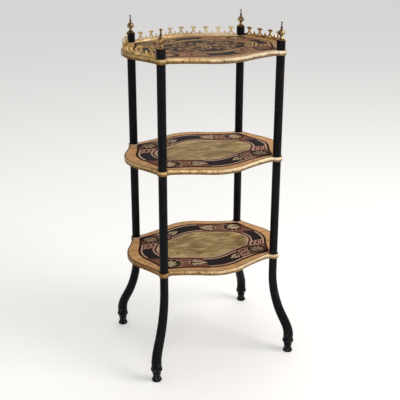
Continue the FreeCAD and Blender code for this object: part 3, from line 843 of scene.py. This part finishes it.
@dataclass(frozen=True)
class Band:
    """The border between its pale strings, on the front or on the right side of a tier."""

    on_side: bool
    inner_gap: float = 11.8
    outer_gap: float = 10.2

    def at(self, along: Array | float, across: Array | float) -> Array:
        """Places in the band.

        Args:
            along: X on the front, Y on the right side.
            across: 0 at the centre field's string, 1 at the outer string.

        Returns:
            Points (n, 2): the outline's distance from the middle line is read off it at each place.
        """
        along = np.atleast_1d(np.asarray(along, float))
        inner, outer = (
            plan.side_line()[:, ::-1] if self.on_side else plan.front_line() for plan in (FIELD, BORDER)
        )
        low = np.interp(np.abs(along), *inner.T) + self.inner_gap
        high = np.interp(np.abs(along), *outer.T) - self.outer_gap
        reach = low + across * (high - low)
        return np.stack([reach, along] if self.on_side else [along, -reach], 1)

    def middle(self, along: Array) -> tuple[Array, Array]:
        """The band's middle line at some places, and half its width there."""
        line = self.at(along, 0.5)
        return line, np.linalg.norm(self.at(along, 1.0) - line, axis=1)


# Marquetry


@dataclass(frozen=True)
class Leaf:
    """A leaf of a flower: shares of the flower's length, and degrees from its middle line."""

    along: float
    aside: float
    heading: float
    length: float
    width: float
    bend: float


@dataclass(frozen=True)
class FanShape:
    """How a fan's leaves stand in its round ground.

    The foot and the start of the leaves are shares of its radius, the spread is in degrees to each
    side, the reach and the fill are shares of the room that a leaf has, and its bend one of its angle.
    """

    radius: float = 19.6
    foot: float = 0.34
    start: float = 0.10
    spread: float = 150.0
    count: int = 11
    reach: float = 0.97
    fill: float = 0.50
    bend: float = 0.12
    belly: float = 1.15


@dataclass(frozen=True)
class FanPlace:
    """A fan at the front: its side as the sign of X, its heading, its pale arcs and its smoke."""

    side: int
    heading: float
    arcs: tuple[Span, ...]
    smoke: float


FLOWER_LEAVES = (
    Leaf(0.14, 0.03, 146, 0.24, 0.09, 10),
    Leaf(0.20, 0.04, 66, 0.38, 0.15, 26),
    Leaf(0.30, 0.05, 40, 0.46, 0.15, 46),
)
FAN_PLACES = (
    FanPlace(-1, 14, ((-66, 34), (52, 96)), 0.0),
    FanPlace(1, 92, ((52, 108), (150, 204)), 0.6),
)
# The lines of a fret in shares of its panel, (along, across): a foot, two hooks and a short one
FRET_LINES = (
    ((0.1, 0.0), (0.1, 0.96)),
    ((0.1, 0.05), (0.92, 0.05), (0.92, 0.31), (0.36, 0.31), (0.36, 0.17)),
    ((0.1, 0.44), (0.92, 0.44), (0.92, 0.70), (0.36, 0.70), (0.36, 0.56)),
    ((0.1, 0.83), (0.92, 0.83), (0.92, 0.96)),
)


@dataclass
class Marquetry:
    """The inlay of one tier: lines round border and field, corner fans, frets and flowers.

    Every motif is drawn where the photograph shows it and once more turned by half a turn.
    """

    tier: Tier
    fan_shape: FanShape = FanShape()
    ring_radius: float = MEDALLION_RADIUS + 1.1
    ring_half: float = 1.2
    arc_gap: float = 2.6
    arc_half: float = 1.0
    string_inset: float = 0.4
    string_overlap: float = 0.5
    joint_inset: float = 2.4
    joint_half: float = 0.6
    rim_width: float = 5.8
    line_width: float = 4.4
    frame_width: float = 4.2
    fret_width: float = 2.2
    fret_end_half: float = 0.7
    lozenge_half: float = 13.0
    surround: float = 1.9
    side_start: float = 88.0

    def __post_init__(self) -> None:
        """Reads the tier's surface and its fans' places off the CAD model, and lays out the woods."""
        name = f"{self.tier.value}_tier_"
        self.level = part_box(name + "centre_field")[1].z
        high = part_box(name + "corner_medallions")[1]
        self.fan_centre = np.array([high.x, high.y]) / MM - MEDALLION_RADIUS
        self.block = Inlay(self.level, 0.06)
        self.ground = Inlay(self.level, 0.07)
        self.plain = Inlay(self.level, 0.09)
        self.dark = Inlay(self.level, 0.12)
        self.pale = Inlay(self.level, 0.15)
        self.fret = Inlay(self.level, 0.16)
        self.leaves = Inlay(self.level, 0.19)
        self.buds = Inlay(self.level, 0.22)

    def lines(self) -> None:
        """The dark lines on the border's rim and round the field, and the joint beside the strip."""
        rim, line, string = self.rim_width / 2, self.line_width / 2, STRING_WIDTH / 2
        self.dark.plate(BORDER.outline(-rim, BORDER_ROUNDING), rim, True)
        self.dark.plate(FIELD.outline(STRING_WIDTH + line), line, True)
        self.pale.plate(FIELD.outline(string - self.string_inset), string + self.string_overlap, True)
        self.dark.plate(EDGE.lobed(-self.joint_inset), self.joint_half, True)

    def frame_lines(self) -> None:
        """Pale lines inside the dark ones: on the front by their X, on the right side by their Y."""
        half = self.frame_width / 2
        inner = FIELD.outline(STRING_WIDTH + self.line_width + half)
        outer = BORDER.outline(-self.rim_width - half, BORDER_ROUNDING)
        for line, axis, first, last in (
            (inner, 0, -31, 62), (outer, 0, -31, 94), (inner, 1, -46, 24), (outer, 1, -52, 24)
        ):
            near = line[:, 0] > self.side_start if axis else line[:, 1] < 0
            self.pale.twins(line[near & (line[:, axis] > first) & (line[:, axis] < last)], half)

    def blocks(self) -> None:
        """Ebony under the flowers that stand on it, and the pointed end of each side's block.

        Both start inside the block. The point's half width and its way inwards follow the share s of
        the taper that is done: half the band's width times 1 - s, and 0.16 s^2 of the band inwards.
        """
        self.block.twins(*Band(False).middle(np.linspace(18, 58, 15)))
        side, reach = Band(True), np.linspace(18, 38, 11)
        done = np.clip((reach - 24) / 14, 0, 1)
        width = np.linalg.norm(side.at(24, 1.0) - side.at(24, 0.0))
        self.block.twins(side.at(reach, 0.5 - 0.16 * done**2), 0.5 * width * (1 - done))

    def leaf(
        self, base: Array, heading: float, length: float, width: float, bend: float = 0.0,
        fullness: float = 0.8, belly: float = 1.0, smoke: float = 0.0,
    ) -> None:
        """A pale leaf on a dark surround that is a little larger on all sides."""
        gap = self.surround
        back = base - gap * heading_vector(heading)
        self.dark.leaf(back, heading, length + 2 * gap, width + 2 * gap, bend, 0.8 * fullness, belly)
        self.leaves.leaf(base, heading, length, width, bend, fullness, belly, smoke)

    def fan(self, centre: Array, heading: float, smoke: float) -> None:
        """A fan of pointed leaves that fills its round ground.

        The leaves start near a foot behind the centre and end a little inside the circle: at the angle
        a from the heading, the circle is d = f cos a + sqrt(R^2 - f^2 sin^2 a) from the foot, with f
        the foot's distance from the centre.
        """
        shape, direction = self.fan_shape, heading_vector(heading)
        radius, foot, start = shape.radius, shape.foot * shape.radius, shape.start * shape.radius
        place = centre - foot * direction
        angles, step = np.linspace(-shape.spread, shape.spread, shape.count, retstep=True)
        for angle in angles:
            turn = math.radians(angle)
            reach = foot * math.cos(turn) + math.sqrt(radius**2 - (foot * math.sin(turn)) ** 2)
            base = place + start * heading_vector(heading + angle)
            width = shape.fill * math.radians(step) * reach
            self.leaf(
                base, heading + angle, shape.reach * reach - start, width, shape.bend * angle,
                belly=shape.belly, smoke=smoke,
            )
        for side in (1, -1):
            curled = (heading + side * 150, 0.5 * radius, 0.2 * radius, -side * 130)
            self.leaf(place - 0.1 * radius * direction, *curled, smoke=smoke)
        self.leaf(place - 0.2 * radius * direction, heading, 0.46 * radius, 0.26 * radius, smoke=smoke)

    def fans(self) -> None:
        """Four fans, each in a dark ring with pale arcs where the ring meets the border's panels.

        Beside the front left fan and its twin, two more pale arcs and a dark one stand round the ring.
        """
        ring = self.ring_radius
        circle = ring * heading_vector(np.arange(0, 360, 5))
        tongue, tongue_half = np.linspace(8, 30, 6)[:, None], np.linspace(17, 4, 6)
        for fan in FAN_PLACES:
            for sign in (1, -1):
                centre = sign * self.fan_centre * [fan.side, -1]
                outwards = np.sign(centre) / math.sqrt(2)
                self.dark.plate(centre + circle, self.ring_half, True)
                self.ground.plate(centre + tongue * outwards, tongue_half)
                self.fan(centre, fan.heading + (0 if sign > 0 else 180), fan.smoke)
                for ends in fan.arcs:
                    arc = (ring + self.arc_gap) * heading_vector(np.linspace(*ends, 24))
                    self.pale.plate(centre + sign * arc, self.arc_half)
        beside = heading_vector(np.linspace(-58, 24, 24))
        for wood, gap, half in ((self.pale, 3.0, 1.6), (self.dark, 6.0, 1.3), (self.pale, 8.3, 0.9)):
            wood.twins((ring + gap) * beside - self.fan_centre, half)

    def fret_panel(self, band: Band, first: float, last: float) -> None:
        """A Greek fret across the band, from one place along it to another, on a dark ground."""
        self.ground.twins(*band.middle(np.linspace(first, last, 12)))
        for line in FRET_LINES:
            corners = np.arange(len(line))
            places = np.linspace(0, corners[-1], 6 * corners[-1] + 1)
            along, across = (np.interp(places, corners, shares) for shares in zip(*line))
            self.fret.twins(band.at(first + (last - first) * along, across), self.fret_width / 2)
        for end in (first, last):
            self.dark.twins(band.at(np.full(9, end), np.linspace(0, 1, 9)), self.fret_end_half)

    def flower(self, tail: Array, tip: Array) -> None:
        """A flower between two places: crossed tail leaves, side leaves and a pointed bud."""
        length = float(np.linalg.norm(tip - tail))
        direction = (tip - tail) / length
        normal = np.array([-direction[1], direction[0]])
        heading = heading_of(direction)
        for leaf in FLOWER_LEAVES:
            for side in (1, -1):
                base = tail + length * (leaf.along * direction + side * leaf.aside * normal)
                size = (leaf.length * length, leaf.width * length)
                self.leaf(base, heading + side * leaf.heading, *size, -side * leaf.bend)
        self.dark.leaf(tail + 0.64 * length * direction, heading, 0.42 * length, 0.34 * length)
        self.leaf(tail + 0.36 * length * direction, heading, 0.64 * length, 0.27 * length, belly=0.8)
        self.dark.leaf(tail + 0.44 * length * direction, heading, 0.26 * length, 0.10 * length)
        self.buds.leaf(tail + 0.46 * length * direction, heading, 0.24 * length, 0.09 * length)

    def panels(self) -> None:
        """Frets and flowers beside the blocks, and a paler lozenge in each plain panel."""
        front = Band(False)
        self.fret_panel(Band(True), -25.0, -50.0)
        self.fret_panel(front, 64.0, 89.0)
        for sign in (1, -1):
            for tail, tip in ((-71.0, -29.0), (62.0, 32.0)):
                self.flower(sign * front.at(tail, 0.5)[0], sign * front.at(tip, 0.5)[0])
        half = self.lozenge_half * (1 - np.abs(np.linspace(-1, 1, 17)))
        self.plain.twins(front.at(np.linspace(-88, -68, 17), 0.5), half)

    def build(self) -> None:
        """Draws everything and makes one piece of each wood."""
        self.lines()
        self.frame_lines()
        self.blocks()
        self.fans()
        self.panels()
        top = self.tier is Tier.TOP
        for inlay, name, finish, slot in (
            (self.leaves, "leaves", "worn leaf wood" if top else "leaf wood", "medallion_veneer"),
            (self.buds, "buds", "dark line", "ebony_veneer"),
            (self.dark, "dark_lines", "dark line", "ebony_veneer"),
            (self.block, "block_ends", "ebony veneer", "ebony_veneer"),
            (self.ground, "dark_grounds", "smoked wood", "mahogany_veneer"),
            (self.pale, "frame_lines", "golden string" if top else "pale string", "pale_string"),
            (self.fret, "frets", "golden string" if top else "fret wood", "pale_string"),
            (self.plain, "lozenges", "pale mahogany", "mahogany_veneer"),
        ):
            inlay.surface.piece(f"{self.tier.value}_inlay_{name}", finish, slot)


@dataclass(frozen=True)
class Scroll:
    """One stroke of the arabesque; its width swells in the middle."""

    start: Span
    heading: float
    length: float
    bend: float
    curl: float
    width: float


@dataclass
class Arabesque:
    """Scrolling leaves on the dark field of the top tier, the same in its four quarters."""

    level: float
    scrolls: tuple[Scroll, ...] = (
        Scroll((6, 10), 62, 92, -70, -190, 2.6),
        Scroll((12, 4), 8, 74, 30, 150, 2.4),
        Scroll((52, 8), -8, 44, 60, 190, 2.2),
        Scroll((30, 46), 100, 30, -60, -150, 2.0),
    )
    leaves: tuple[tuple[float, float, float, float, float], ...] = (
        (8, 16, 95, 24, 7),
        (16, 30, 70, 20, 6),
        (30, 42, 30, 22, 6.5),
        (46, 38, -12, 20, 6),
        (40, 10, 28, 20, 6),
        (60, 12, 50, 18, 5.5),
        (74, 6, 12, 20, 6),
        (22, 3, -2, 18, 5),
    )
    band_places: tuple[float, ...] = (6.0, 10.5, 15.0)
    band_reach: float = 46.0

    def foliage(self) -> None:
        """Draws the scrolls and leaves of a quarter four times, and the flower in the middle.

        A leaf is given as X, Y, heading, length and width.
        """
        gold = Inlay(self.level, 0.14)
        share = np.linspace(0, 1, 60)
        swell = 0.35 + 0.65 * np.sin(math.pi * share) ** 0.6
        mirrors = [np.array([x, y]) for x in (1, -1) for y in (1, -1)]
        for scroll in self.scrolls:
            turns = (scroll.heading, scroll.length, scroll.bend, scroll.curl)
            path = stroke(scroll.start, *turns, share)
            for mirror in mirrors:
                gold.plate(path * mirror, scroll.width / 2 * swell)
        for x, y, heading, length, width in self.leaves:
            for mirror in mirrors:
                turned = heading_of(heading_vector(heading) * mirror)
                bend = 30 * mirror.prod()
                gold.leaf(mirror * [x, y], turned, length, width, bend, 0.7, 0.8)
        for angle in range(0, 360, 45):
            gold.leaf(3.0 * heading_vector(angle), angle, 12 if angle % 90 else 16, 6, 0, 0.6, 1.2)
        gold.surface.piece("top_field_arabesque", "golden wood", "medallion_veneer")

    def bands(self) -> None:
        """Draws the bands that follow both ends of the field."""
        bands = Inlay(self.level, 0.10)
        line = FIELD.side_line()
        end = np.concatenate([(line * [1, -1])[::-1][:-1], line])
        end = end[np.abs(end[:, 1]) < self.band_reach]
        for inwards in self.band_places:
            bands.twins(end + inwards * side_normals(end, False), 0.9)
        bands.surface.piece("top_field_bands", "golden string", "pale_string")


# Sub-assemblies


@dataclass
class TierWork:
    """One tier: board, veneers, brass strip with its nails, and the marquetry."""

    tier: Tier
    field_finish: str
    front_nails: tuple[float, ...]
    side_nails: tuple[float, ...]
    nail_radius: float = 1.9
    nail_height: float = 0.45
    nail_share: float = 0.4
    nail_points: int = 12
    left_reach: float = -120.0

    def dress(self) -> None:
        """Gives the tier's nodes their finishes."""
        top = self.tier is Tier.TOP
        string = "golden string" if top else "pale string"
        finishes = {
            "board": "stained board",
            "crossbanding": "worn crossbanding" if top else "crossbanding veneer",
            "outer_string": string,
            "border_panels": "mahogany veneer",
            "dark_blocks": "ebony veneer",
            "corner_medallions": "medallion ground",
            "inner_string": string,
            "centre_field": self.field_finish,
            # The strips carry painted shade on the left side and foot and a painted highlight on the
            # right front.
            "brass_strip": "bottom strip brass" if self.tier is Tier.BOTTOM else "strip brass",
        }
        for part, finish in finishes.items():
            dress(f"{self.tier.value}_tier_{part}", finish)

    def nails(self) -> None:
        """Round nail heads on the brass strip, each with its twin half a turn round the tier.

        A head is a cap turned about the strip's outward direction: a ring of its radius, one most of
        the way up at 0.75 of it and its middle at the full height, closed by a flat back inside the
        strip. It stands at the outline's point nearest to its X on the front, or its Y on the left.
        """
        low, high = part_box(f"{self.tier.value}_tier_brass_strip")
        level = low.z + self.nail_share * (high.z - low.z)
        outline = EDGE.outline()
        normals = side_normals(outline, True)
        x, y = outline.T
        off_front, off_left = np.where(y > 0, np.inf, 0), np.where(x > self.left_reach, np.inf, 0)
        front = [np.argmin(np.abs(x - place) + off_front) for place in self.front_nails]
        side = [np.argmin(np.abs(y - place) + off_left) for place in self.side_nails]
        count = self.nail_points
        turn = np.arange(count)
        ring = heading_vector(360 / count * turn)
        top = np.full(count, 3 * count)
        cap = np.stack([2 * count + turn, 2 * count + (turn + 1) % count, top], 1)
        faces = [ring_faces(3, count), cap, turn[::-1][None, :]]
        heads = Surface()
        for index in (*front, *side):
            for sign in (1, -1):
                outwards = sign * np.append(normals[index] / np.linalg.norm(normals[index]), 0)
                sideways = np.array([-outwards[1], outwards[0], 0])
                centre = np.append(sign * outline[index] * MM, level)
                circle = ring[:, :1] * sideways + ring[:, 1:] * np.array([0, 0, 1.0])
                rows = [
                    centre + MM * (share * self.nail_radius * circle + height * outwards)
                    for share, height in ((1, -0.4), (1, 0.1), (0.75, 0.7 * self.nail_height))
                ]
                heads.add(np.concatenate([*rows, [centre + MM * self.nail_height * outwards]]), faces)
        heads.piece(f"{self.tier.value}_strip_nails", "nail iron", "brass")

    def build(self) -> None:
        """Dresses the tier and adds its nails and marquetry."""
        self.dress()
        self.nails()
        marquetry = Marquetry(self.tier)
        marquetry.build()
        if self.tier is Tier.TOP:
            arabesque = Arabesque(marquetry.level)
            arabesque.foliage()
            arabesque.bands()


@dataclass
class CornerStack:
    """One corner: the curved leg, the posts between the tiers and the finial on top."""

    corner: Corner

    def build(self) -> None:
        """Gives the corner's nodes their finishes."""
        for part in ("leg", "lower_post", "upper_post", "gallery_post"):
            dress(f"{part}_{self.corner.value}", "ebonised wood")
        dress(f"finial_{self.corner.value}", "finial brass")


@dataclass
class GalleryWork:
    """One side of the pierced brass gallery on the top tier."""

    side: GallerySide

    def build(self) -> None:
        """Gives the gallery's side its finish: paler brass on the back, a darker copy on the sides, as
        painted light and shade.
        """
        finish = "gilt brass" if self.side is GallerySide.BACK else "shaded gallery brass"
        dress(f"gallery_{self.side.value}", finish)


# Studio


@dataclass(frozen=True)
class Lamp:
    """A square lamp aimed at the table's middle."""

    name: str
    place: tuple[float, float, float]
    size: float
    power: float
    colour: Colour = (1.0, 1.0, 1.0)


@dataclass
class Studio:
    """Camera, lamps, pale floor and surroundings."""

    camera_place: tuple[float, float, float] = (-0.66935, -1.64887, 1.09166)
    yaw: float = 0.38088
    pitch: float = 0.33857
    roll: float = -0.00282
    lens: float = 69.389
    shift: float = -0.075
    aim: tuple[float, float, float] = (0.0, 0.0, 0.45)
    lamps: tuple[Lamp, ...] = (
        Lamp("key lamp", (1.7, -1.4, 2.0), 1.4, 46.0, (1.0, 0.97, 0.93)),
        Lamp("fill lamp", (-0.9, -2.5, 1.3), 1.6, 14.0, (0.95, 0.97, 1.0)),
        Lamp("top lamp", (0.2, 0.5, 2.6), 1.4, 16.0),
    )
    floor_half: float = 40.0
    floor_colour: Colour = srgb(226, 224, 220)
    floor_glow: float = 0.35
    seen_colour: Colour = (0.52, 0.53, 0.55)
    light_colour: Colour = (0.5, 0.51, 0.53)

    def camera(self) -> None:
        """Stands the camera where the photograph was taken.

        It looks along (sin yaw cos pitch, cos yaw cos pitch, -sin pitch), with the picture's right
        (cos yaw, -sin yaw, 0) and down their cross product, both turned by the roll.
        """
        level = np.array([math.sin(self.yaw), math.cos(self.yaw), 0])
        forward = math.cos(self.pitch) * level - math.sin(self.pitch) * np.array([0, 0, 1])
        across = np.array([math.cos(self.yaw), -math.sin(self.yaw), 0])
        below = np.cross(forward, across)
        right = math.cos(self.roll) * across + math.sin(self.roll) * below
        down = math.cos(self.roll) * below - math.sin(self.roll) * across
        data = bpy.data.cameras.new("camera")
        data.sensor_width = 36.0
        data.lens = self.lens
        data.shift_y = self.shift
        data.clip_start = 0.05
        camera = bpy.data.objects.new("camera", data)
        turn = np.eye(4)
        turn[:3] = np.stack([right, -down, -forward, self.camera_place], 1)
        camera.matrix_world = Matrix(turn.tolist())
        bpy.context.scene.collection.objects.link(camera)
        bpy.context.scene.camera = camera

    def light(self) -> None:
        """Hangs the lamps, each facing the table."""
        for lamp in self.lamps:
            data = bpy.data.lights.new(lamp.name, "AREA")
            data.energy = lamp.power
            data.size = lamp.size
            data.color = lamp.colour
            hung = bpy.data.objects.new(lamp.name, data)
            hung.location = lamp.place
            way = Vector(self.aim) - Vector(lamp.place)
            hung.rotation_euler = way.to_track_quat("-Z", "Y").to_euler()
            bpy.context.scene.collection.objects.link(hung)

    def surroundings(self) -> None:
        """A pale grey where the camera, a reflection or glass sees it, and a plain light elsewhere."""
        world = bpy.data.worlds.new("studio")
        bpy.context.scene.world = world
        tree = NodeTree(world)
        nodes = tree.tree.nodes
        tree.feed(nodes["Background"].inputs["Color"], self.seen_colour)
        seen = nodes["Background"].outputs[0]
        lit = tree.add("Background", {"Color": self.light_colour}).outputs[0]
        mixed = tree.add("MixShader", {0: tree.seen(), 1: lit, 2: seen}).outputs[0]
        tree.feed(nodes["World Output"].inputs["Surface"], mixed)

    def floor(self) -> None:
        """A wide pale floor that is seen a little paler than the lamps make it."""
        half = self.floor_half
        corners = [(-half, -half, 0), (half, -half, 0), (half, half, 0), (-half, half, 0)]
        mesh = bpy.data.meshes.new("floor")
        mesh.from_pydata(corners, [], [(0, 1, 2, 3)])
        tree = FinishTree("pale floor", Roughness=0.75, Emission_Color=self.floor_colour)
        glow = tree.reckon("MULTIPLY", tree.seen(), self.floor_glow)
        tree.feed(tree.shader.inputs["Emission Strength"], glow)
        mesh.materials.append(tree.finish(self.floor_colour))
        floor = bpy.data.objects.new("floor", mesh)
        bpy.context.scene.collection.objects.link(floor)

    def build(self) -> None:
        """Sets up the whole studio."""
        self.camera()
        self.light()
        self.surroundings()
        self.floor()
        bpy.context.scene.view_settings.view_transform = "Standard"


def main() -> None:
    """Builds the table's looks piece by piece, then the studio round it."""
    logging.basicConfig(level=logging.INFO, format="%(name)s: %(message)s")
    Studio().build()
    TierWork(Tier.BOTTOM, "burr veneer", (-42.0, 38.0, 118.0), (-61.5, 20.0, 96.0)).build()
    TierWork(Tier.MIDDLE, "burr veneer", (-84.0, 10.0, 92.0), (-80.0, -10.0, 70.0)).build()
    TierWork(Tier.TOP, "smoked rosewood", (-97.0, -15.5, 63.0), (-87.0, -10.0, 66.0)).build()
    for corner in Corner:
        CornerStack(corner).build()
    for side in GallerySide:
        GalleryWork(side).build()


if __name__ == "__main__":
    main()
